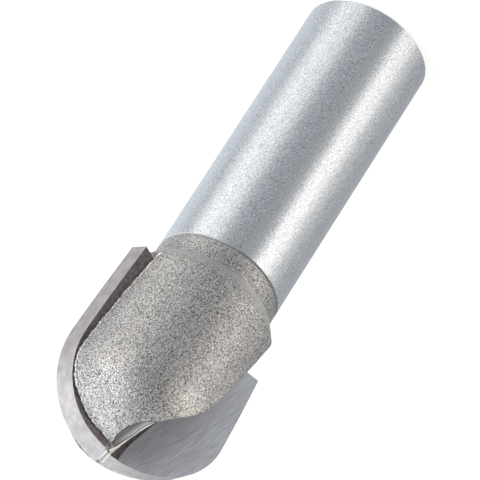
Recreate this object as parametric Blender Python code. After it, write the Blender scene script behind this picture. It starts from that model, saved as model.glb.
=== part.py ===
# Radius router bit: a turned steel body with two brazed carbide tips and two gullets.
# The bit stands on the flat end of its shank, nose up. The origin is the centre of the
# shank's end face, +Z runs along the axis to the nose, and the tips spread along X.

from math import acos, atan, atan2, cos, hypot, pi, radians, sin, sqrt, tan

import bmesh
import bpy
from mathutils import Vector

MM = 0.001

# Shank
SHANK_DIAMETER = 12.7 * MM
SHANK_LENGTH = 32.3 * MM
SHANK_END_CHAMFER = 0.24 * MM
SHANK_TOP_CHAMFER = 0.10 * MM

# Neck, with a shallow undercut where it meets the shank
NECK_DIAMETER = 12.7 * MM
NECK_LENGTH = 2.45 * MM
NECK_UNDERCUT = 0.20 * MM
NECK_UNDERCUT_HEIGHT = 0.55 * MM
NECK_FILLET = 0.30 * MM

# Cutting circle: a cylinder that ends in a ball
CUTTING_DIAMETER = 18.0 * MM
BALL_CENTRE_HEIGHT = 14.3 * MM

# Head blank, which stays inside the cutting circle
HEAD_CLEARANCE = 0.90 * MM
UNDERSIDE_RISE = 0.52 * MM
SHOULDER_CHAMFER_WIDTH = 1.00 * MM
SHOULDER_CHAMFER_HEIGHT = 1.69 * MM
SHOULDER_ROUNDING = 1.5 * MM
RIM_ROUNDING = 1.2 * MM
DOME_START = 1.56 * MM
DOME_CORNER_RADIUS = 5.26 * MM
CROWN_EXTRA_RADIUS = 1.20 * MM
NIB_DIAMETER = 2.3 * MM
NIB_CLEARANCE = 0.20 * MM

# Carbide tips
TIP_BELOW_BALL = 10.0 * MM
TIP_THICKNESS = 2.22 * MM
TIP_END_RELIEF = 0.27 * MM
RAKE_SHEAR = radians(9.9)
RAKE_OFFSET = 0.42 * MM
RELIEF_ANGLE = radians(19.0)

# The strip along a tip's root that the grinding wheel does not reach, wider at the nose
UNGROUND_STRIP = 0.40 * MM
UNGROUND_FLARE = 0.40 * MM
UNGROUND_FLARE_START = 5.6 * MM
UNGROUND_STEP = 0.10 * MM

# Gullets, whose floors lean outwards from the web at the nose
WEB_HALF_THICKNESS = 0.20 * MM
WEB_BELOW_NOSE = 1.0 * MM
GULLET_FLOOR_SLOPE = 0.26
GULLET_FLOOR_TILT = 0.15
GULLET_LAND = 0.2 * MM
GULLET_WIDTH = 6.6 * MM
GULLET_FILLET = 3.4 * MM
RUNOUT_ABOVE_TIP_END = 1.2 * MM
RUNOUT_RADIUS = 5.0 * MM

# Facet ground off the heel of the web, beside the nib
HEEL_FACET_BELOW_NOSE = 1.02 * MM
HEEL_FACET_SETBACK = 0.3 * MM
HEEL_FACET_FALL_OUT = 0.36
HEEL_FACET_FALL_FRONT = 0.138

# Tip seats and the braze in them
SEAT_CLEARANCE = 0.30 * MM
BRAZE_CLEARANCE = 0.03 * MM
BRAZE_RECESS = 0.12 * MM

# Facets of the round forms
TURNED_SEGMENTS = 96
EDGE_SEGMENTS = 36
ARC_SEGMENTS = 10
FILLET_SEGMENTS = 8
SHOULDER_SEGMENTS = 3

SHANK_RADIUS = SHANK_DIAMETER / 2
CUTTING_RADIUS = CUTTING_DIAMETER / 2
HEAD_RADIUS = CUTTING_RADIUS - HEAD_CLEARANCE
BALL_CENTRE = SHANK_LENGTH + BALL_CENTRE_HEIGHT
WEB_LEVEL = CUTTING_RADIUS - WEB_BELOW_NOSE
SEAT_BOTTOM = -TIP_BELOW_BALL - TIP_END_RELIEF - SEAT_CLEARANCE
BEYOND = 2 * CUTTING_RADIUS

# The planes of a tip lean with the shear angle. A place on a tip is given by its depth
# behind the rake face, its distance out from the axis and its height along the face.
PLATE_BACK = Vector((0.0, -cos(RAKE_SHEAR), sin(RAKE_SHEAR)))
PLATE_OUT = Vector((1.0, 0.0, 0.0))
PLATE_UP = Vector((0.0, sin(RAKE_SHEAR), cos(RAKE_SHEAR)))
PLATE_ORIGIN = Vector((0.0, 0.0, BALL_CENTRE)) + RAKE_OFFSET * PLATE_BACK


def plate_point(depth, out, up):
    return PLATE_ORIGIN + depth * PLATE_BACK + out * PLATE_OUT + up * PLATE_UP


def clear_scene():
    for item in list(bpy.data.objects):
        bpy.data.objects.remove(item, do_unlink=True)


def make_material(name, colour, roughness):
    material = bpy.data.materials.new(name)
    material.use_nodes = True
    shader = material.node_tree.nodes["Principled BSDF"]
    shader.inputs["Base Color"].default_value = (*colour, 1.0)
    shader.inputs["Metallic"].default_value = 1.0
    shader.inputs["Roughness"].default_value = roughness
    material.diffuse_color = (*colour, 1.0)
    return material


def add_object(name, shape, material=None):
    mesh = bpy.data.meshes.new(name)
    bmesh.ops.recalc_face_normals(shape, faces=shape.faces)
    shape.to_mesh(mesh)
    shape.free()
    if material:
        mesh.materials.append(material)
    item = bpy.data.objects.new(name, mesh)
    bpy.context.scene.collection.objects.link(item)
    return item


def add_cutter(name, shape, half_turn=False):
    """Guide body for a boolean, half a turn round the axis for the second tip's side."""
    item = add_object(name, shape)
    item.hide_render = True
    item.display_type = "WIRE"
    if half_turn:
        item.rotation_euler = (0.0, 0.0, pi)
    return item


def boolean(item, other, operation):
    modifier = item.modifiers.new(operation.title() + " " + other.name, "BOOLEAN")
    modifier.operation = operation
    modifier.solver = "EXACT"
    modifier.object = other


def shade_smooth(item, sharp_angle):
    item.data.shade_smooth()
    item.data.set_sharp_from_angle(angle=radians(sharp_angle))


def arc_points(centre, radius, start, end, steps):
    return [(centre[0] + radius * cos(start + (end - start) * i / steps),
             centre[1] + radius * sin(start + (end - start) * i / steps))
            for i in range(steps + 1)]


def rounded_corner(before, corner, after, radius, steps):
    """Arc that rounds the corner between two straight stretches of a profile."""
    corner = Vector(corner)
    back = (Vector(before) - corner).normalized()
    ahead = (Vector(after) - corner).normalized()
    half_angle = back.angle(ahead) / 2
    centre = corner + (back + ahead).normalized() * radius / sin(half_angle)
    first = (corner + back * radius / tan(half_angle) - centre).normalized()
    last = (corner + ahead * radius / tan(half_angle) - centre).normalized()
    return [tuple(centre + first.slerp(last, i / steps) * radius) for i in range(steps + 1)]


def loft(sections):
    """Closed solid through sections with equal point counts, capped at both ends."""
    shape = bmesh.new()
    rings = [[shape.verts.new(point) for point in section] for section in sections]
    for lower, upper in zip(rings, rings[1:]):
        for i in range(len(lower)):
            j = (i + 1) % len(lower)
            shape.faces.new((lower[i], lower[j], upper[j], upper[i]))
    shape.faces.new(rings[0])
    shape.faces.new(reversed(rings[-1]))
    return shape


# Turned blank

def dome_profile(inset):
    """Nib, crown and corner arcs, tangent to each other, from the axis outwards."""
    crown_radius = HEAD_RADIUS + CROWN_EXTRA_RADIUS
    corner = (HEAD_RADIUS - DOME_CORNER_RADIUS, BALL_CENTRE + DOME_START)
    crown_drop = sqrt((crown_radius - DOME_CORNER_RADIUS) ** 2 - corner[0] ** 2)
    crown = (0.0, corner[1] - crown_drop)
    blend = atan2(crown_drop, corner[0])
    nib_radius = NIB_DIAMETER / 2 - inset
    nib_top = BALL_CENTRE + CUTTING_RADIUS - NIB_CLEARANCE - inset
    nib_angle = acos(nib_radius / (crown_radius - inset))

    points = [(0.0, nib_top), (nib_radius, nib_top)]
    points += arc_points(crown, crown_radius - inset, nib_angle, blend, ARC_SEGMENTS)
    points += arc_points(corner, DOME_CORNER_RADIUS - inset, blend, 0.0, ARC_SEGMENTS)[1:]
    return points


def neck_profile(inset):
    """Rounded shoulder, underside, fillet, neck and undercut, down to the shank."""
    neck_top = SHANK_LENGTH + NECK_LENGTH
    rim_height = neck_top + UNDERSIDE_RISE
    rim_radius = HEAD_RADIUS - SHOULDER_CHAMFER_WIDTH - inset
    neck_radius = NECK_DIAMETER / 2 - inset
    fillet = (neck_radius + NECK_FILLET, neck_top - NECK_FILLET)

    side = (HEAD_RADIUS - inset, BALL_CENTRE + DOME_START)
    shoulder = (HEAD_RADIUS - inset, rim_height + SHOULDER_CHAMFER_HEIGHT)
    rim = (rim_radius, rim_height)
    underside = arc_points(fillet, NECK_FILLET, radians(108), pi, FILLET_SEGMENTS // 2)
    points = rounded_corner(side, shoulder, rim, SHOULDER_ROUNDING, SHOULDER_SEGMENTS)
    points += rounded_corner(shoulder, rim, underside[0], RIM_ROUNDING, SHOULDER_SEGMENTS)
    points += underside
    for i in range(FILLET_SEGMENTS // 2 + 1):
        turn = pi / 2 * i / (FILLET_SEGMENTS // 2)
        points.append((neck_radius - NECK_UNDERCUT * (1 - cos(turn)),
                       SHANK_LENGTH + NECK_UNDERCUT_HEIGHT * (1 - sin(turn))))
    return points


def shank_profile(inset):
    """Shank from its top chamfer down to the centre of its end face."""
    return [(SHANK_RADIUS - SHANK_TOP_CHAMFER - inset, SHANK_LENGTH),
            (SHANK_RADIUS - inset, SHANK_LENGTH - SHANK_TOP_CHAMFER),
            (SHANK_RADIUS - inset, SHANK_END_CHAMFER),
            (SHANK_RADIUS - SHANK_END_CHAMFER - inset, 0.0),
            (0.0, 0.0)]


def turned_blank(inset=0.0):
    """Blank turned from its outline, with its skin moved inwards by the inset."""
    profile = dome_profile(inset) + neck_profile(inset) + shank_profile(inset)
    shape = bmesh.new()
    verts = [shape.verts.new((radius, 0.0, height)) for radius, height in profile]
    edges = [shape.edges.new(pair) for pair in zip(verts, verts[1:])]
    bmesh.ops.spin(shape, geom=verts + edges, cent=(0, 0, 0), axis=(0, 0, 1),
                   angle=2 * pi, steps=TURNED_SEGMENTS, use_merge=True)
    bmesh.ops.remove_doubles(shape, verts=shape.verts, dist=0.001 * MM)
    bmesh.ops.dissolve_degenerate(shape, edges=shape.edges, dist=0.001 * MM)
    return shape


# Gullets, seats and heel facets

def floor_out(up):
    """Distance of the gullet floor from the axis, at a height along the rake face."""
    return WEB_HALF_THICKNESS + GULLET_FLOOR_SLOPE * (WEB_LEVEL - up)


def gullet_section(up, floor):
    """Land, tilted floor, root fillet and heel wall of a gullet at one height."""
    floor_width = GULLET_WIDTH - GULLET_FILLET
    fillet_centre = (-floor_width,
                     floor + GULLET_FLOOR_TILT * (floor_width - GULLET_LAND) + GULLET_FILLET)
    points = [(0.0, floor), (-GULLET_LAND, floor)]
    points += arc_points(fillet_centre, GULLET_FILLET, -pi / 2, -pi, FILLET_SEGMENTS)
    points += [(-GULLET_WIDTH, BEYOND), (0.0, BEYOND)]
    return [plate_point(depth, out, up) for depth, out in points]


def gullet_shape():
    """Gullet swept down its leaning floor and out of the head along a run-out arc."""
    runout_top = -TIP_BELOW_BALL + RUNOUT_ABOVE_TIP_END
    lean = atan(GULLET_FLOOR_SLOPE)
    centre = (floor_out(runout_top) + RUNOUT_RADIUS * cos(lean),
              runout_top + RUNOUT_RADIUS * sin(lean))
    runout = arc_points(centre, RUNOUT_RADIUS, pi + lean, 3 * pi / 2, ARC_SEGMENTS)
    sections = [gullet_section(BEYOND, floor_out(BEYOND))]
    sections += [gullet_section(up, out) for out, up in runout]
    return loft(sections)


def seat_slab(front, back, inner_gap, bottom):
    """Slab between two depths, open at the top, its inner side along the gullet floor."""
    sections = []
    for up in (bottom, BEYOND):
        inner = floor_out(up) + inner_gap
        sections.append([plate_point(front, inner, up),
                         plate_point(back, inner, up),
                         plate_point(back, BEYOND, up),
                         plate_point(front, BEYOND, up)])
    return loft(sections)


def heel_facet_shape():
    """Everything above a plane that falls outwards and forwards from the nib."""
    level = CUTTING_RADIUS - HEEL_FACET_BELOW_NOSE
    inside, outside = -HEAD_RADIUS / 2, HEAD_RADIUS
    sections = []
    for depth in (-HEEL_FACET_SETBACK, -HEEL_FACET_SETBACK - GULLET_WIDTH):
        edge = level + HEEL_FACET_FALL_FRONT * depth
        sections.append([plate_point(depth, inside, edge - HEEL_FACET_FALL_OUT * inside),
                         plate_point(depth, outside, edge - HEEL_FACET_FALL_OUT * outside),
                         plate_point(depth, outside, BEYOND),
                         plate_point(depth, inside, BEYOND)])
    return loft(sections)


# Carbide tips

def straight_edge(up, relief):
    """Distance out of the straight cutting edge, or of the land's line behind it."""
    lean = RAKE_OFFSET * cos(RAKE_SHEAR) - up * sin(RAKE_SHEAR)
    out = sqrt(CUTTING_RADIUS ** 2 - lean ** 2)
    return out - relief * hypot(1.0, lean * sin(RAKE_SHEAR) / out)


def tip_section(depth):
    """Tip's outline at a depth behind the rake face, drawn in by the relief there."""
    relief = depth * tan(RELIEF_ANGLE)
    tangent_up = -RAKE_OFFSET * tan(RAKE_SHEAR)
    end_up = -TIP_BELOW_BALL - TIP_END_RELIEF * depth / TIP_THICKNESS
    outline = []
    for i in range(ARC_SEGMENTS):
        up = end_up + (tangent_up - end_up) * i / ARC_SEGMENTS
        outline.append((straight_edge(up, relief), up))

    ball_radius = sqrt(CUTTING_RADIUS ** 2 - RAKE_OFFSET ** 2)
    first = atan2(tangent_up, ball_radius)
    arc_radius = ball_radius - relief
    reach = (floor_out(0.0) + SEAT_CLEARANCE) / (arc_radius * hypot(1.0, GULLET_FLOOR_SLOPE))
    last = atan(GULLET_FLOOR_SLOPE) + acos(reach)
    outline += arc_points((0.0, 0.0), arc_radius, first, last, EDGE_SEGMENTS)
    outline.append((floor_out(end_up) + SEAT_CLEARANCE, end_up))
    return [plate_point(depth, out, up) for out, up in outline]


def tip_shape():
    return loft([tip_section(-UNGROUND_STEP), tip_section(TIP_THICKNESS)])


def rake_grinding_shape():
    """What the wheel takes off the front of a tip, short of the gullet floor. The
    strip that it leaves widens along a curve up to the nose."""
    flare_length = CUTTING_RADIUS - UNGROUND_FLARE_START
    levels = [SEAT_BOTTOM]
    levels += [UNGROUND_FLARE_START + flare_length * i / ARC_SEGMENTS
               for i in range(ARC_SEGMENTS + 1)]
    levels.append(BEYOND)
    sections = []
    for up in levels:
        flare = min(max(up - UNGROUND_FLARE_START, 0.0) / flare_length, 1.0)
        strip = UNGROUND_STRIP + UNGROUND_FLARE * flare ** 2
        inner = floor_out(up) + SEAT_CLEARANCE + strip
        sections.append([plate_point(-BEYOND, inner, up),
                         plate_point(0.0, inner, up),
                         plate_point(0.0, BEYOND, up),
                         plate_point(-BEYOND, BEYOND, up)])
    return loft(sections)


# Whole pieces

def build_steel_body(material):
    """Turned blank with a gullet, a seat and a heel facet cut in for each tip."""
    body = add_object("steel_body", turned_blank(), material)
    for side, half_turn in (("1", False), ("2", True)):
        seat = seat_slab(-GULLET_LAND, TIP_THICKNESS + SEAT_CLEARANCE, 0.0, SEAT_BOTTOM)
        for name, shape in (("gullet", gullet_shape()), ("seat", seat),
                            ("heel_facet", heel_facet_shape())):
            cutter = add_cutter(name + "_cutter_" + side, shape, half_turn)
            boolean(body, cutter, "DIFFERENCE")
    shade_smooth(body, 32)


def build_carbide_tip(side, half_turn, material):
    """Plate with relieved lands behind its edge and a ground rake face in front."""
    tip = add_object("carbide_tip_" + side, tip_shape(), material)
    if half_turn:
        tip.rotation_euler = (0.0, 0.0, pi)
    wheel = add_cutter("rake_grinding_" + side, rake_grinding_shape(), half_turn)
    boolean(tip, wheel, "DIFFERENCE")
    shade_smooth(tip, 20)


def build_braze_layer(side, half_turn, material):
    """Braze behind, inside and below a tip, a little short of the steel's skin."""
    back = TIP_THICKNESS + SEAT_CLEARANCE - BRAZE_CLEARANCE
    shape = seat_slab(0.0, back, BRAZE_CLEARANCE, SEAT_BOTTOM + BRAZE_CLEARANCE)
    layer = add_object("braze_layer_" + side, shape, material)
    if half_turn:
        layer.rotation_euler = (0.0, 0.0, pi)
    tip_room = seat_slab(-BEYOND, TIP_THICKNESS + BRAZE_CLEARANCE,
                         SEAT_CLEARANCE - BRAZE_CLEARANCE,
                         -TIP_BELOW_BALL - TIP_END_RELIEF - BRAZE_CLEARANCE)
    boolean(layer, add_cutter("tip_room_" + side, tip_room, half_turn), "DIFFERENCE")
    skin = add_cutter("braze_skin_" + side, turned_blank(BRAZE_RECESS))
    boolean(layer, skin, "INTERSECT")


clear_scene()
blasted_steel = make_material("blasted tool steel", (0.33, 0.32, 0.30), 0.55)
tungsten_carbide = make_material("tungsten carbide", (0.28, 0.28, 0.29), 0.38)
silver_braze = make_material("silver braze", (0.45, 0.42, 0.34), 0.45)

build_steel_body(blasted_steel)
for side, half_turn in (("1", False), ("2", True)):
    build_carbide_tip(side, half_turn, tungsten_carbide)
    build_braze_layer(side, half_turn, silver_braze)
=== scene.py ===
from math import atan2, cos, radians, sin
from random import Random

import bpy
from mathutils import Matrix, Vector


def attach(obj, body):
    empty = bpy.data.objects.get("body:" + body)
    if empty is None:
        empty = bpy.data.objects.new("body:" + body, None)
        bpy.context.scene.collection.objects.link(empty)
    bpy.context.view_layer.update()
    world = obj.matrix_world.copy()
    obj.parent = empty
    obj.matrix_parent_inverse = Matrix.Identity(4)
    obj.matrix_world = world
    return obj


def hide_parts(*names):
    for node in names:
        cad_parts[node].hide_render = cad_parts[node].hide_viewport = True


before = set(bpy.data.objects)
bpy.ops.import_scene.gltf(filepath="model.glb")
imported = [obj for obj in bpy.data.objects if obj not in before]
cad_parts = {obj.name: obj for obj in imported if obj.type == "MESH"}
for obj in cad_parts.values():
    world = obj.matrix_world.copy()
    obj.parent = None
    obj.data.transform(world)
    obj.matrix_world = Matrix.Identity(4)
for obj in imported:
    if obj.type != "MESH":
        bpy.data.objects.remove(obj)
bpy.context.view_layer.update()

bpy.context.scene.view_settings.view_transform = "Standard"


# Camera: a long lens above the nose end, 34 degrees above the level of the table,
# rolled so that the nose of the standing bit points to the lower left of the picture.
CAMERA_PLACE = Vector((0.082261, -0.521529, 0.389056))
CAMERA_RIGHT = Vector((-0.78371, -0.432684, -0.445656))
CAMERA_UP = Vector((0.607797, -0.386234, -0.693852))
CAMERA_LENS = 511.2
CAMERA_SENSOR = 36.0
CAMERA_CLIP_START = 0.01

camera_data = bpy.data.cameras.new("camera")
camera_data.lens = CAMERA_LENS
camera_data.sensor_width = CAMERA_SENSOR
camera_data.clip_start = CAMERA_CLIP_START
camera = bpy.data.objects.new("camera", camera_data)
camera_back = CAMERA_RIGHT.cross(CAMERA_UP)
camera.matrix_world = Matrix((CAMERA_RIGHT, CAMERA_UP, camera_back)).transposed().to_4x4()
camera.location = CAMERA_PLACE
bpy.context.scene.collection.objects.link(camera)
bpy.context.scene.camera = camera


# Studio: the bit stands on plain white paper in a dim, cool grey room. Warm strip lamps
# stand low on both sides of the camera, white soft boxes hang above and behind, and the
# paper is as white to the metal that mirrors it as it is to the lens.
STUDIO_CENTRE = Vector((0.0, 0.0, 0.035))
CAMERA_AZIMUTH = atan2(CAMERA_PLACE.y, CAMERA_PLACE.x)
WHITE = "ffffff"
WARM_WHITE = "fff2e4"
WARM_BELOW = 10
LAMP_DISTANCE = 0.40
ROOM_COLOUR = "8b97a3"
ROOM_STRENGTH = 0.05
BACKDROP_STRENGTH = 1.0
TABLE_SIZE = 3.0
TABLE_COLOUR = "f4f4f4"
# Near the bit the paper keeps this share of its real shading, which fades to nothing
# between these two distances from the axis.
TABLE_SHADOW_SHARE = 0.12
SHADOW_FADE = (0.12, 0.40)


def linear(hex_colour):
    """An sRGB hex colour as linear red, green, blue and alpha."""
    channels = [int(hex_colour[i:i + 2], 16) / 255 for i in (0, 2, 4)]
    return [c / 12.92 if c <= 0.04045 else ((c + 0.055) / 1.055) ** 2.4
            for c in channels] + [1.0]


def add_node(tree, kind, inputs=None, **settings):
    """Add one node, set its properties, and fill or link its inputs by name or number."""
    made = tree.nodes.new(kind)
    for name, value in settings.items():
        setattr(made, name, value)
    for name, value in (inputs or {}).items():
        if isinstance(value, bpy.types.NodeSocket):
            tree.links.new(value, made.inputs[name])
        else:
            made.inputs[name].default_value = value
    return made


def soft_box(name, azimuth, elevation, width, height, power):
    """Rectangular lamp aimed at the bit, its azimuth counted from the camera's, in
    degrees. The low ones are warm."""
    turn, rise = CAMERA_AZIMUTH + radians(azimuth), radians(elevation)
    away = Vector((cos(turn) * cos(rise), sin(turn) * cos(rise), sin(rise)))
    data = bpy.data.lights.new(name, "AREA")
    data.shape = "RECTANGLE"
    data.size, data.size_y = width, height
    data.energy = power
    data.color = linear(WARM_WHITE if elevation < WARM_BELOW else WHITE)[:3]
    lamp = bpy.data.objects.new(name, data)
    lamp.location = STUDIO_CENTRE + away * LAMP_DISTANCE
    lamp.rotation_euler = away.to_track_quat("Z", "Y").to_euler()
    bpy.context.scene.collection.objects.link(lamp)


for lamp_name, azimuth, elevation, width, height, power in (
        ("low_strip_1", -40, 5, 0.07, 0.10, 0.44),
        ("low_strip_2", -46, 5, 0.07, 0.10, 0.51),
        ("low_strip_3", -60, 5, 0.09, 0.10, 0.71),
        ("low_strip_4", -80, 5, 0.07, 0.10, 0.20),
        ("side_soft_box_1", -110, 27, 0.13, 0.16, 0.15),
        ("low_strip_5", 42, 5, 0.11, 0.10, 0.42),
        ("low_strip_6", 60, 5, 0.07, 0.10, 0.43),
        ("low_strip_7", 74, 5, 0.10, 0.10, 0.36),
        ("side_soft_box_2", 75, 27, 0.13, 0.16, 0.29),
        ("side_soft_box_3", 124, 27, 0.24, 0.16, 1.24),
        ("high_soft_box_1", 60, 50, 0.26, 0.20, 1.28),
        ("high_soft_box_2", 180, 50, 0.26, 0.20, 1.45),
        ("top_soft_box", 0, 80, 0.26, 0.20, 0.50),
        ("low_back_soft_box", 190, 15, 0.30, 0.20, 0.20)):
    soft_box(lamp_name, azimuth, elevation, width, height, power)

room = bpy.data.worlds.new("room")
room.use_nodes = True
bpy.context.scene.world = room
tree = room.node_tree
tree.nodes.clear()
light_path = add_node(tree, "ShaderNodeLightPath")
grey_walls = add_node(tree, "ShaderNodeBackground",
                      {"Color": linear(ROOM_COLOUR), "Strength": ROOM_STRENGTH})
white_backdrop = add_node(tree, "ShaderNodeBackground",
                          {"Color": linear(WHITE), "Strength": BACKDROP_STRENGTH})
walls = add_node(tree, "ShaderNodeMixShader",
                 {0: light_path.outputs["Is Camera Ray"], 1: grey_walls.outputs[0],
                  2: white_backdrop.outputs[0]})
add_node(tree, "ShaderNodeOutputWorld", {"Surface": walls.outputs[0]})

bpy.ops.object.select_all(action="DESELECT")
bpy.ops.mesh.primitive_plane_add(size=TABLE_SIZE)
table = bpy.context.object
table.name = "table"
white_paper = bpy.data.materials.new("white paper table")
white_paper.use_nodes = True
tree = white_paper.node_tree
tree.nodes.clear()
light_path = add_node(tree, "ShaderNodeLightPath")
seen = add_node(tree, "ShaderNodeMath",
                {0: light_path.outputs["Is Camera Ray"],
                 1: light_path.outputs["Is Transmission Ray"]}, operation="MAXIMUM")
seen_or_mirrored = add_node(tree, "ShaderNodeMath",
                            {0: seen.outputs[0], 1: light_path.outputs["Is Glossy Ray"]},
                            operation="MAXIMUM")
table_place = add_node(tree, "ShaderNodeTexCoord").outputs["Object"]
from_axis = add_node(tree, "ShaderNodeVectorMath", {0: table_place}, operation="LENGTH")
white_here = add_node(tree, "ShaderNodeMapRange",
                      {"Value": from_axis.outputs["Value"], "From Min": SHADOW_FADE[0],
                       "From Max": SHADOW_FADE[1], "To Min": 1 - TABLE_SHADOW_SHARE})
white_share = add_node(tree, "ShaderNodeMath",
                       {0: seen_or_mirrored.outputs[0], 1: white_here.outputs[0]},
                       operation="MULTIPLY")
paper = add_node(tree, "ShaderNodeBsdfDiffuse", {"Color": linear(TABLE_COLOUR)})
plain_white = add_node(tree, "ShaderNodeEmission",
                       {"Color": linear(WHITE), "Strength": BACKDROP_STRENGTH})
table_surface = add_node(tree, "ShaderNodeMixShader",
                         {0: white_share.outputs[0], 1: paper.outputs[0],
                          2: plain_white.outputs[0]})
add_node(tree, "ShaderNodeOutputMaterial", {"Surface": table_surface.outputs[0]})
table.data.materials.append(white_paper)


# Steel body: shank, neck and head turned from one bar of tool steel, with gullets and
# tip seats milled in. The shank is ground to size and head and neck are blasted matt.
# The nose is faced, and the gullets keep a narrow strip as bright as the cutter left it.
SHANK_TOP = 0.0323
SHANK_CHAMFER = 0.0001
SHOULDER_LOW = 0.0346
SHOULDER_MIDDLE = 0.0354
SHOULDER_HIGH = 0.0366
BALL_CENTRE_HEIGHT = 0.0466
NOSE_FLAT_HEIGHT = 0.0550
RAKE_SHEAR = radians(9.9)
RAKE_OFFSET = 0.00042
GULLET_LAND = 0.0002
FLOOR_SLOPE = 0.26
HEEL_FALL_OUT = 0.36
HEEL_FALL_FRONT = 0.138
HEEL_OUTLINE = 0.00008
# The painted shade of the heel facet's hollow ends at a soft crease, which leans this
# # much. Inside the first distance out from the axis the facet is painted dark, and
# # outside the second it is mid grey.
HEEL_LEAN = 0.21
HEEL_PAINTED_SHADE_FADE = (-0.00055, -0.00005)
HEEL_GRAIN_SHARE = 0.2
# Craters of fine blasting grit, 0.035 mm across, as on the real one. About half of them
# look dark and half bright, with little between, and each has a dullness of its own.
GRIT_SIZE = 0.000035
CRATER_DEPTH = 0.00001
DARK_TO_BRIGHT = (0.5, 0.54)
CRATER_DULLNESS = (0.42, 0.88)
BLASTED_ANISOTROPY = 0.60
# In the hollow of the shoulder the grain gives way to this one tone, by this share.
SHELTERED_TONE = 0.56
SHELTERED_SHARE = 0.85
# The marks of a grinding wheel are some 0.01 mm wide, too fine to show, so its sparkle
# and its rings are drawn 0.05 and 0.09 mm wide, and long the way the wheel went round.
SPARKLE_SIZE = 0.00005
SPARKLE_STRETCH = (0.6, 0.6, 1.0)
WHEEL_LINE = 0.00009
WHEEL_LINE_DEPTH = 0.000003
WHEEL_LINE_STRETCH = (0.06, 0.06, 1.0)
# Noise seldom leaves this range, which is spread over the whole way from dark to light.
NOISE_RANGE = (0.3, 0.7)
# A quarter turn from the tangent round the axis: rings draw light out along the bar.
ALONG_THE_BAR = 0.25
# The Mix node's sockets go by number: two for plain values, and three for colours.
VALUE_A, VALUE_B = 2, 3
COLOUR_A, COLOUR_B, COLOUR_MIXED = 6, 7, 2
# Places this near count as one, and so do directions with a cosine above these.
CLOSE = 0.000005
SAME_WAY = 0.99
SAME_WAY_AS_HEEL = 0.999
MERGE_DISTANCE = 0.000001
FLAT_WITHIN = radians(0.3)

TIP_BACK = Vector((0.0, -cos(RAKE_SHEAR), sin(RAKE_SHEAR)))
TIP_OUT = Vector((1.0, 0.0, 0.0))
TIP_UP = Vector((0.0, sin(RAKE_SHEAR), cos(RAKE_SHEAR)))
TIP_ORIGIN = Vector((0.0, 0.0, BALL_CENTRE_HEIGHT)) + RAKE_OFFSET * TIP_BACK
HEEL_NORMAL = (TIP_UP + HEEL_FALL_OUT * TIP_OUT - HEEL_FALL_FRONT * TIP_BACK).normalized()
FLOOR_NORMAL = (TIP_OUT + FLOOR_SLOPE * TIP_UP).normalized()


def turned(vector, side):
    """The vector as tip 1 would have it: side is 1 for tip 1 and -1 for tip 2."""
    return Vector((side * vector.x, side * vector.y, vector.z))


def on_tip(place, side):
    """Depth behind a tip's rake face, distance out and height along that face."""
    offset = turned(place, side) - TIP_ORIGIN
    return offset.dot(TIP_BACK), offset.dot(TIP_OUT), offset.dot(TIP_UP)


def at_tip(depth, out, up, side):
    """The place that has this depth, distance out and height on a tip."""
    place = TIP_ORIGIN + depth * TIP_BACK + out * TIP_OUT + up * TIP_UP
    return turned(place, side)


def copied_from_node(node_name, piece_name, sharp_angle):
    """The node's solid as a closed mesh of its own, with its flat faces merged, smooth
    except at edges sharper than the angle."""
    piece = bpy.data.objects.new(piece_name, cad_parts[node_name].data.copy())
    piece.data.materials.clear()
    bpy.context.scene.collection.objects.link(piece)
    bpy.ops.object.select_all(action="DESELECT")
    piece.select_set(True)
    bpy.context.view_layer.objects.active = piece
    bpy.ops.mesh.customdata_custom_splitnormals_clear()
    bpy.ops.object.mode_set(mode="EDIT")
    bpy.ops.mesh.select_all(action="SELECT")
    bpy.ops.mesh.remove_doubles(threshold=MERGE_DISTANCE)
    bpy.ops.mesh.dissolve_limited(angle_limit=FLAT_WITHIN)
    bpy.ops.object.mode_set(mode="OBJECT")
    bpy.ops.object.shade_smooth_by_angle(angle=radians(sharp_angle))
    return piece


def bare_material(name):
    """A material with nothing in it yet, and object coordinates in metres to draw on."""
    material = bpy.data.materials.new(name)
    material.use_nodes = True
    tree = material.node_tree
    tree.nodes.clear()
    return material, tree, add_node(tree, "ShaderNodeTexCoord").outputs["Object"]


def finished_as_metal(material, surface):
    """The material as bare metal, with this colour, roughness and relief."""
    tree = material.node_tree
    metal = add_node(tree, "ShaderNodeBsdfPrincipled", {"Metallic": 1.0, **surface})
    add_node(tree, "ShaderNodeOutputMaterial", {"Surface": metal.outputs[0]})
    return material


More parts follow.
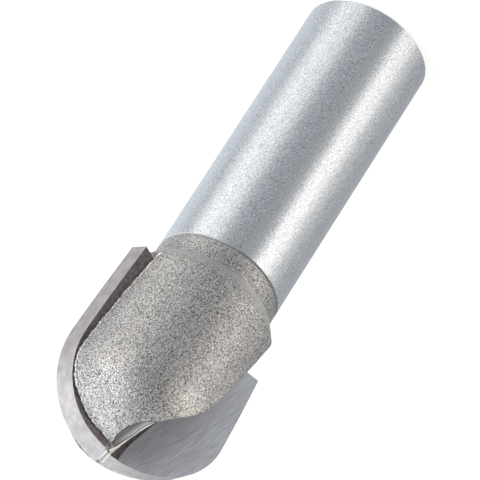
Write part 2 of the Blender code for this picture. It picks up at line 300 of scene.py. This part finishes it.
def ring_ground_steel(name, roughness, anisotropy, dark, light):
    """Tool steel ground or turned on its axis: fine rings draw every light out into a
    band along the bar, with a faint sparkle where the grit bit."""
    material, tree, place = bare_material(name)
    round_the_axis = add_node(tree, "ShaderNodeTangent", direction_type="RADIAL", axis="Z")
    flattened = add_node(tree, "ShaderNodeMapping",
                         {"Vector": place, "Scale": SPARKLE_STRETCH})
    sparkle = add_node(tree, "ShaderNodeTexNoise",
                       {"Vector": flattened.outputs[0], "Scale": 1 / SPARKLE_SIZE,
                        "Detail": 0.0})
    spread = add_node(tree, "ShaderNodeMapRange",
                      {"Value": sparkle.outputs["Fac"], "From Min": NOISE_RANGE[0],
                       "From Max": NOISE_RANGE[1]})
    tone = add_node(tree, "ShaderNodeMix",
                    {"Factor": spread.outputs[0], COLOUR_A: linear(dark),
                     COLOUR_B: linear(light)}, data_type="RGBA")
    rings = add_node(tree, "ShaderNodeMapping",
                     {"Vector": place, "Scale": WHEEL_LINE_STRETCH})
    ring_noise = add_node(tree, "ShaderNodeTexNoise",
                          {"Vector": rings.outputs[0], "Scale": 1 / WHEEL_LINE,
                           "Detail": 2.0})
    relief = add_node(tree, "ShaderNodeBump",
                      {"Height": ring_noise.outputs["Fac"],
                       "Distance": WHEEL_LINE_DEPTH, "Strength": 0.6})
    return finished_as_metal(material, {
        "Base Color": tone.outputs[COLOUR_MIXED], "Roughness": roughness,
        "Normal": relief.outputs[0], "Anisotropic": anisotropy,
        "Anisotropic Rotation": ALONG_THE_BAR, "Tangent": round_the_axis.outputs[0]})


def blasted_metal(name, dark, light):
    """Metal blasted with fine grit: each strike leaves a small dished crater, so the
    surface is matt, with dark and bright specks side by side. The craters differ in
    depth, so some specks are glossier than others, and the turned rings below still
    draw the light out a little. In the hollow of the shoulder the blast was weak and
    the turned surface shows through."""
    material, tree, place = bare_material(name)
    round_the_axis = add_node(tree, "ShaderNodeTangent", direction_type="RADIAL", axis="Z")
    craters = add_node(tree, "ShaderNodeTexVoronoi",
                       {"Vector": place, "Scale": 1 / GRIT_SIZE})
    chance = add_node(tree, "ShaderNodeSeparateColor", {"Color": craters.outputs["Color"]})
    speck = add_node(tree, "ShaderNodeMapRange",
                     {"Value": chance.outputs[0], "From Min": DARK_TO_BRIGHT[0],
                      "From Max": DARK_TO_BRIGHT[1]})
    dullness = add_node(tree, "ShaderNodeMapRange",
                        {"Value": chance.outputs[1], "To Min": CRATER_DULLNESS[0],
                         "To Max": CRATER_DULLNESS[1]})
    height = add_node(tree, "ShaderNodeSeparateXYZ", {"Vector": place}).outputs["Z"]
    rising = add_node(tree, "ShaderNodeMapRange",
                      {"Value": height, "From Min": SHOULDER_LOW,
                       "From Max": SHOULDER_MIDDLE}, interpolation_type="SMOOTHSTEP")
    falling = add_node(tree, "ShaderNodeMapRange",
                       {"Value": height, "From Min": SHOULDER_MIDDLE,
                        "From Max": SHOULDER_HIGH, "To Min": 1.0, "To Max": 0.0},
                       interpolation_type="SMOOTHSTEP")
    hollow = add_node(tree, "ShaderNodeMath",
                      {0: rising.outputs[0], 1: falling.outputs[0]},
                      operation="MINIMUM")
    sheltered = add_node(tree, "ShaderNodeMath",
                         {0: hollow.outputs[0], 1: SHELTERED_SHARE},
                         operation="MULTIPLY")
    evened = add_node(tree, "ShaderNodeMix",
                      {"Factor": sheltered.outputs[0], VALUE_A: speck.outputs[0],
                       VALUE_B: SHELTERED_TONE})
    tone = add_node(tree, "ShaderNodeMix",
                    {"Factor": evened.outputs[0], COLOUR_A: linear(dark),
                     COLOUR_B: linear(light)}, data_type="RGBA")
    relief = add_node(tree, "ShaderNodeBump",
                      {"Height": craters.outputs["Distance"],
                       "Distance": CRATER_DEPTH, "Strength": 0.5})
    return finished_as_metal(material, {
        "Base Color": tone.outputs[COLOUR_MIXED], "Roughness": dullness.outputs[0],
        "Normal": relief.outputs[0], "Anisotropic": BLASTED_ANISOTROPY,
        "Anisotropic Rotation": ALONG_THE_BAR, "Tangent": round_the_axis.outputs[0]})


def heel_steel_with_painted_shade(number, side):
    """Tool steel ground a little hollow with the edge of a wheel, drawn flat with the
    hollow's shade painted in: mid grey on its outer side, and painted darker inside a
    soft crease, where it turns away from the light."""
    material, tree, place = bare_material("ground heel with painted shade %d" % number)
    across = TIP_OUT + HEEL_LEAN * TIP_BACK
    axis = TIP_ORIGIN.dot(across)
    crossing = add_node(tree, "ShaderNodeVectorMath", {0: place, 1: turned(across, side)},
                        operation="DOT_PRODUCT")
    # Painted shade: dark inside the crease line, fading to mid grey outside it.
    painted_shade_fade = add_node(tree, "ShaderNodeMapRange",
                       {"Value": crossing.outputs["Value"],
                        "From Min": axis + HEEL_PAINTED_SHADE_FADE[0],
                        "From Max": axis + HEEL_PAINTED_SHADE_FADE[1]},
                       interpolation_type="SMOOTHSTEP")
    grain = add_node(tree, "ShaderNodeTexNoise",
                     {"Vector": place, "Scale": 1 / SPARKLE_SIZE, "Detail": 0.0})
    both = add_node(tree, "ShaderNodeMix",
                    {"Factor": HEEL_GRAIN_SHARE, VALUE_A: painted_shade_fade.outputs[0],
                     VALUE_B: grain.outputs["Fac"]})
    tone = add_node(tree, "ShaderNodeMix",
                    {"Factor": both.outputs[0], COLOUR_A: linear("626363"),
                     COLOUR_B: linear("a9aaaa")}, data_type="RGBA")
    return finished_as_metal(material, {
        "Base Color": tone.outputs[COLOUR_MIXED], "Roughness": 0.50})


body = copied_from_node("steel_body", "steel_body_finished", sharp_angle=30)
(BLASTED, SHANK_GROUND, BRIGHT_CUT, TURNED_EDGE, HEEL_1_GROUND, HEEL_2_GROUND,
 HEEL_SHADE, NOSE_FACED) = range(8)
for finish in (
        # Matt, with a fine salt and pepper grain.
        blasted_metal("blasted tool steel", dark="060606", light="bec0c2"),
        # Satin and cool grey, with long clear bands of light.
        ring_ground_steel("ground tool steel", roughness=0.46, anisotropy=0.85,
                          dark="73787f", light="c8cfd6"),
        # Bright, nearly white, where nothing came after the cutter.
        ring_ground_steel("bright cut steel", roughness=0.35, anisotropy=0.0,
                          dark="c4c6c8", light="e8eaec"),
        # Duller and darker, as a hair chamfer is that no wheel touched.
        ring_ground_steel("turned edge steel", roughness=0.55, anisotropy=0.0,
                          dark="787a7e", light="9c9ea0"),
        # The heel facets, flat, with the shade of their hollow painted in.
        heel_steel_with_painted_shade(1, 1),
        heel_steel_with_painted_shade(2, -1),
        # A dark hair line of painted shade, where the rim of the facet turns out of the
        # light.
        ring_ground_steel("heel outline in shade", roughness=0.55, anisotropy=0.0,
                          dark="3a3b3a", light="5a5b5a"),
        # Mid grey and rather dull, from facing off the end.
        ring_ground_steel("faced nose steel", roughness=0.60, anisotropy=0.0,
                          dark="848688", light="a0a2a4")):
    body.data.materials.append(finish)


def body_finish(centre, normal):
    """Which finish a face of the body has, from where it lies and how it faces."""
    if centre.z < SHANK_TOP - SHANK_CHAMFER + CLOSE:
        return SHANK_GROUND
    if centre.z < SHANK_TOP - CLOSE:
        return TURNED_EDGE
    if centre.z > NOSE_FLAT_HEIGHT and normal.z > SAME_WAY:
        return NOSE_FACED
    for side in (1, -1):
        depth, _, up = on_tip(centre, side)
        facing = turned(normal, side)
        if facing.dot(HEEL_NORMAL) > SAME_WAY_AS_HEEL and up > 0:
            return HEEL_1_GROUND if side > 0 else HEEL_2_GROUND
        if -GULLET_LAND - CLOSE < depth < CLOSE and facing.dot(FLOOR_NORMAL) > SAME_WAY:
            return BRIGHT_CUT
    return BLASTED


for face in body.data.polygons:
    face.material_index = body_finish(face.center, face.normal)
# Each heel facet gets a flat rim with no depth, coloured as the dark outline of painted
# shade.
bpy.ops.object.mode_set(mode="EDIT")
bpy.ops.mesh.select_mode(type="FACE")
bpy.ops.mesh.select_all(action="DESELECT")
bpy.ops.object.mode_set(mode="OBJECT")
for face in body.data.polygons:
    face.select = face.material_index in (HEEL_1_GROUND, HEEL_2_GROUND)
bpy.ops.object.mode_set(mode="EDIT")
bpy.ops.mesh.inset(thickness=HEEL_OUTLINE, use_select_inset=True)
body.active_material_index = HEEL_SHADE
bpy.ops.object.material_slot_assign()
bpy.ops.object.mode_set(mode="OBJECT")
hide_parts("steel_body")
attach(body, "root")


# Carbide tips: sintered tungsten carbide plates, brazed in and then ground on the rake
# face and behind the cutting edge. What the wheel missed stays dark from the furnace.
# The end of tip 1 was touched up by hand, so one corner is longer and one cut away.
TIP_SIDES = ((1, 1), (2, -1))
TIP_THICKNESS = 0.00222
TIP_EDGE_ROUNDING = 0.00005
# Both corners as the solid has them, by depth, distance out and height, and how far
# the front one drops and the back one rises along the gullet floor.
END_CORNER_FRONT = (0.0, 0.008744, -0.0100)
END_CORNER_BACK = (0.00222, 0.00524, -0.01027)
END_CORNER_DROP = 0.00032
END_CORNER_RISE = 0.00135
# Diamond grit leaves lines some 0.01 mm wide, too fine to show, so they are drawn
# 0.06 mm wide, with single scratches of 0.22 mm and slow changes of tone among them.
# The wheel crossed the rake face 19 degrees off the axis, outwards and down.
RAKE_LINE = 0.00006
RAKE_LINE_DEPTH = 0.000004
RAKE_LINE_STRETCH = 30.0
RAKE_LINE_ALONG = TIP_OUT * 0.327 - TIP_UP * 0.945
RAKE_WAVE = 0.0008
RAKE_WAVE_STRETCH = 5.0
RAKE_WAVE_SHARE = 0.4
SCRATCH_SIZE = 0.00022
SCRATCH_RANGE = (0.72, 0.80)
SCRATCH_DARKENING = 0.14
# The clouds of a glazed land and the mottle of sintered carbide, at their real size.
LAND_CLOUD = 0.0008
MOTTLE_SIZE = 0.00035
MOTTLE_DEPTH = 0.00002
CLOUD_RANGE = (0.35, 0.65)
# The faces that look forwards or backwards with a cosine above this are the plate's
# flat sides. What stands in front of the rake face was out of the wheel's reach.
FLAT_SIDE = 0.9


def drawn_along(tree, place, side, stretch):
    """Coordinates whose pattern is drawn out the way the wheel crossed a rake face."""
    along, back = turned(RAKE_LINE_ALONG, side), turned(TIP_BACK, side)
    shares = []
    for direction in (along / stretch, along.cross(back), back):
        shares.append(add_node(tree, "ShaderNodeVectorMath", {0: place, 1: direction},
                               operation="DOT_PRODUCT").outputs["Value"])
    drawn = add_node(tree, "ShaderNodeCombineXYZ",
                     {"X": shares[0], "Y": shares[1], "Z": shares[2]})
    return drawn.outputs[0]


def ground_rake_carbide(number, side):
    """Carbide ground flat with a diamond cup wheel: dense blue-grey metal with fine
    straight lines the way the wheel went, and slow changes of tone."""
    material, tree, place = bare_material("ground carbide rake %d" % number)
    fine = add_node(tree, "ShaderNodeTexNoise",
                    {"Vector": drawn_along(tree, place, side, RAKE_LINE_STRETCH),
                     "Scale": 1 / RAKE_LINE, "Detail": 1.0})
    lines = add_node(tree, "ShaderNodeMapRange",
                     {"Value": fine.outputs["Fac"], "From Min": NOISE_RANGE[0],
                      "From Max": NOISE_RANGE[1]})
    slow = add_node(tree, "ShaderNodeTexNoise",
                    {"Vector": drawn_along(tree, place, side, RAKE_WAVE_STRETCH),
                     "Scale": 1 / RAKE_WAVE, "Detail": 2.0})
    both = add_node(tree, "ShaderNodeMix",
                    {"Factor": RAKE_WAVE_SHARE, VALUE_A: lines.outputs[0],
                     VALUE_B: slow.outputs["Fac"]})
    stray = add_node(tree, "ShaderNodeTexNoise",
                     {"Vector": drawn_along(tree, place, side, RAKE_LINE_STRETCH),
                      "Scale": 1 / SCRATCH_SIZE, "Detail": 0.0})
    scratch = add_node(tree, "ShaderNodeMapRange",
                       {"Value": stray.outputs["Fac"], "From Min": SCRATCH_RANGE[0],
                        "From Max": SCRATCH_RANGE[1], "To Max": SCRATCH_DARKENING})
    scratched = add_node(tree, "ShaderNodeMath",
                         {0: both.outputs[0], 1: scratch.outputs[0]},
                         operation="SUBTRACT")
    tone = add_node(tree, "ShaderNodeMix",
                    {"Factor": scratched.outputs[0], COLOUR_A: linear("84848a"),
                     COLOUR_B: linear("a9afb7")}, data_type="RGBA")
    relief = add_node(tree, "ShaderNodeBump",
                      {"Height": fine.outputs["Fac"], "Distance": RAKE_LINE_DEPTH,
                       "Strength": 0.5})
    return finished_as_metal(material, {
        "Base Color": tone.outputs[COLOUR_MIXED], "Roughness": 0.50,
        "Normal": relief.outputs[0]})


def ground_land_carbide():
    """Carbide ground round behind the cutting edge: lighter and smooth, with a faint
    cloudiness where the wheel glazed."""
    material, tree, place = bare_material("ground carbide land")
    cloud = add_node(tree, "ShaderNodeTexNoise",
                     {"Vector": place, "Scale": 1 / LAND_CLOUD, "Detail": 3.0})
    spread = add_node(tree, "ShaderNodeMapRange",
                      {"Value": cloud.outputs["Fac"], "From Min": CLOUD_RANGE[0],
                       "From Max": CLOUD_RANGE[1]})
    tone = add_node(tree, "ShaderNodeMix",
                    {"Factor": spread.outputs[0], COLOUR_A: linear("8a898b"),
                     COLOUR_B: linear("99989a")}, data_type="RGBA")
    return finished_as_metal(material, {
        "Base Color": tone.outputs[COLOUR_MIXED], "Roughness": 0.68})


def sintered_carbide():
    """Carbide as it left the furnace: dark and dull, mottled grey and brown."""
    material, tree, place = bare_material("sintered carbide")
    mottle = add_node(tree, "ShaderNodeTexNoise",
                      {"Vector": place, "Scale": 1 / MOTTLE_SIZE, "Detail": 3.0})
    spread = add_node(tree, "ShaderNodeMapRange",
                      {"Value": mottle.outputs["Fac"], "From Min": CLOUD_RANGE[0],
                       "From Max": CLOUD_RANGE[1]})
    tone = add_node(tree, "ShaderNodeMix",
                    {"Factor": spread.outputs[0], COLOUR_A: linear("474648"),
                     COLOUR_B: linear("605d5f")}, data_type="RGBA")
    relief = add_node(tree, "ShaderNodeBump",
                      {"Height": mottle.outputs["Fac"], "Distance": MOTTLE_DEPTH,
                       "Strength": 0.6})
    return finished_as_metal(material, {
        "Base Color": tone.outputs[COLOUR_MIXED], "Roughness": 0.55,
        "Normal": relief.outputs[0]})


def moved_corner(tip, old_place, shift):
    """Take hold of the corner of a tip at the old place and move it."""
    bpy.ops.object.mode_set(mode="EDIT")
    bpy.ops.mesh.select_mode(type="VERT")
    bpy.ops.mesh.select_all(action="DESELECT")
    bpy.ops.object.mode_set(mode="OBJECT")
    distances = [(corner.co - old_place).length for corner in tip.data.vertices]
    tip.data.vertices[distances.index(min(distances))].select = True
    bpy.ops.object.mode_set(mode="EDIT")
    bpy.ops.transform.translate(value=shift)
    bpy.ops.object.mode_set(mode="OBJECT")


def rounded_behind(tip, side):
    """Round the edges of a tip's back face by a hair."""
    bpy.ops.object.mode_set(mode="EDIT")
    bpy.ops.mesh.select_mode(type="EDGE")
    bpy.ops.mesh.select_all(action="DESELECT")
    bpy.ops.object.mode_set(mode="OBJECT")
    corners = tip.data.vertices
    for edge in tip.data.edges:
        depths = [on_tip(corners[i].co, side)[0] for i in edge.vertices]
        edge.select = min(depths) > TIP_THICKNESS - CLOSE
    bpy.ops.object.mode_set(mode="EDIT")
    bpy.ops.mesh.bevel(offset=TIP_EDGE_ROUNDING, segments=2, clamp_overlap=False)
    bpy.ops.object.mode_set(mode="OBJECT")


land_finish = ground_land_carbide()
sintered_finish = sintered_carbide()
LAND, RAKE, SINTERED = range(3)
for number, side in TIP_SIDES:
    tip = copied_from_node("carbide_tip_%d" % number, "carbide_tip_%d_finished" % number,
                           sharp_angle=20)
    if number == 1:
        moved_corner(tip, at_tip(*END_CORNER_FRONT, side), -END_CORNER_DROP * TIP_UP)
        moved_corner(tip, at_tip(*END_CORNER_BACK, side),
                     END_CORNER_RISE * (TIP_UP - FLOOR_SLOPE * TIP_OUT))
    rounded_behind(tip, side)
    for finish in (land_finish, ground_rake_carbide(number, side), sintered_finish):
        tip.data.materials.append(finish)
    for face in tip.data.polygons:
        depth = on_tip(face.center, side)[0]
        facing = turned(face.normal, side).dot(TIP_BACK)
        face.material_index = LAND
        if facing < -FLAT_SIDE and depth > -CLOSE:
            face.material_index = RAKE
        elif abs(facing) > FLAT_SIDE:
            face.material_index = SINTERED
    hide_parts("carbide_tip_%d" % number)
    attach(tip, "root")


# Braze: silver solder that flowed between each tip and its seat and froze in a rough
# bead along the seam. Head and bead were blasted together, so the bead is steel grey,
# and a thin bright thread of it shows at the root of the rake face.
FLOOR_AT_BALL_CENTRE = 0.00228
SEAT_DEPTH = 0.00252
SEAT_BOTTOM = -0.01057
SEAT_CLEARANCE = 0.0003
BEAD_RADIUS = 0.00018
BEAD_UNEVENNESS = 0.35
BEAD_SHIFT = 0.00011
BEAD_SINK = 0.00006
BEAD_STEP = 0.00015
# The thread runs in front of the rake face through these places, out and up.
THREAD_RADIUS = 0.0001
THREAD_UNEVENNESS = 0.25
THREAD_FRONT = -0.0001
THREAD_COURSE = ((-0.00007, 0.00863), (0.00064, 0.00672), (0.00149, 0.00406),
                 (0.00230, 0.00209))
# A fillet of braze fills the step at the end of tip 1, between these two places, by
# depth, distance out and height.
CORNER_RADIUS = 0.00026
CORNER_UNEVENNESS = 0.2
CORNER_COURSE = ((0.00200, 0.00710, -0.01002), (0.00200, 0.0060, -0.0096))
# Each bead is uneven in its own way, from a seed of its own. Its middle line wanders
# by this share of what its radius does.
THREAD_SEED = 10
CORNER_SEED = 21
WANDER_SHARE = 0.4


def floor_at(up):
    """Distance of the gullet floor from the axis, at a height along the rake face."""
    return FLOOR_AT_BALL_CENTRE - FLOOR_SLOPE * up


def silver_braze(name, dark, light):
    """Silver braze with the flux cleaned off: pale where it froze free, and greyer
    where it was ground together with the nose."""
    material, tree, place = bare_material(name)
    cloud = add_node(tree, "ShaderNodeTexNoise",
                     {"Vector": place, "Scale": 1 / MOTTLE_SIZE, "Detail": 2.0})
    tone = add_node(tree, "ShaderNodeMix",
                    {"Factor": cloud.outputs["Fac"], COLOUR_A: linear(dark),
                     COLOUR_B: linear(light)}, data_type="RGBA")
    return finished_as_metal(material, {
        "Base Color": tone.outputs[COLOUR_MIXED], "Roughness": 0.6})


def seam_points(side):
    """Points down the edge where a tip's seat breaks the skin, then along its end,
    taken to the micrometre so that corners of several faces count once."""
    down, across = set(), set()
    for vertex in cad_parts["steel_body"].data.vertices:
        depth, out, up = on_tip(vertex.co, side)
        if out < floor_at(up) + SEAT_CLEARANCE:
            continue
        if abs(up - SEAT_BOTTOM) < CLOSE and -CLOSE < depth < SEAT_DEPTH - CLOSE:
            across.add((round(-depth, 6), round(out, 6)))
        elif abs(depth - SEAT_DEPTH) < CLOSE and up > SEAT_BOTTOM - CLOSE:
            down.add((round(-up, 6), round(out, 6)))
    points = []
    for fall, out in sorted(down):
        away = Vector((out, max(-fall, 0.0))).normalized() * BEAD_SINK
        points.append(at_tip(SEAT_DEPTH - BEAD_SHIFT, out - away.x, -fall - away.y, side))
    for rise, out in sorted(across):
        points.append(at_tip(-rise, out - BEAD_SINK, SEAT_BOTTOM + BEAD_SHIFT, side))
    return points


def evenly_spaced(points, step):
    """Points a step apart along the straight stretches between the given ones."""
    spaced, left_over = [points[0]], 0.0
    for start, end in zip(points, points[1:]):
        length = (end - start).length
        reached = step - left_over
        while reached < length:
            spaced.append(start.lerp(end, reached / length))
            reached += step
        left_over = length - (reached - step)
    return spaced


def braze_bead(name, points, radius, unevenness, seed, finish):
    """Rough rod of braze along the points, drawn as a curve with a round section that
    wanders and swells a little, and made a mesh."""
    rough = Random(seed)
    data = bpy.data.curves.new(name, "CURVE")
    data.dimensions = "3D"
    data.bevel_depth = radius
    data.bevel_resolution = 2
    data.use_fill_caps = True
    spline = data.splines.new("POLY")
    spline.points.add(len(points) - 1)
    for point, place in zip(spline.points, points):
        wander = Vector([rough.uniform(-1, 1) for axis in "xyz"]) * radius * unevenness
        point.co = (*(place + wander * WANDER_SHARE), 1.0)
        point.radius = 1.0 + rough.uniform(-1, 1) * unevenness
    bead = bpy.data.objects.new(name, data)
    bpy.context.scene.collection.objects.link(bead)
    bpy.ops.object.select_all(action="DESELECT")
    bead.select_set(True)
    bpy.context.view_layer.objects.active = bead
    bpy.ops.object.convert(target="MESH")
    bead = bpy.context.object
    bpy.ops.object.shade_smooth()
    bead.data.materials.append(finish)
    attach(bead, "root")


pale_braze = silver_braze("silver braze", dark="b8b8b7", light="e0e0df")
nose_braze = silver_braze("silver braze ground at the nose", dark="8e8e8d", light="a8a8a7")
blasted_braze = blasted_metal("blasted braze", dark="323232", light="d8d8d7")
AS_FROZEN, GROUND_AT_NOSE = range(2)
for number, side in TIP_SIDES:
    layer = copied_from_node("braze_layer_%d" % number, "braze_%d_finished" % number,
                             sharp_angle=30)
    for finish in (pale_braze, nose_braze):
        layer.data.materials.append(finish)
    for face in layer.data.polygons:
        at_nose = face.center.z > NOSE_FLAT_HEIGHT and face.normal.z > SAME_WAY
        face.material_index = GROUND_AT_NOSE if at_nose else AS_FROZEN
    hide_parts("braze_layer_%d" % number)
    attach(layer, "root")
    seam = evenly_spaced(seam_points(side), BEAD_STEP)
    braze_bead("braze_bead_%d" % number, seam, BEAD_RADIUS, BEAD_UNEVENNESS, number,
               blasted_braze)
    course = [at_tip(THREAD_FRONT, out, up, side) for out, up in THREAD_COURSE]
    thread = evenly_spaced(course, BEAD_STEP)
    braze_bead("braze_thread_%d" % number, thread, THREAD_RADIUS, THREAD_UNEVENNESS,
               THREAD_SEED + number, pale_braze)

corner = evenly_spaced([at_tip(*place, 1) for place in CORNER_COURSE], BEAD_STEP)
braze_bead("braze_corner_1", corner, CORNER_RADIUS, CORNER_UNEVENNESS, CORNER_SEED,
           blasted_braze)
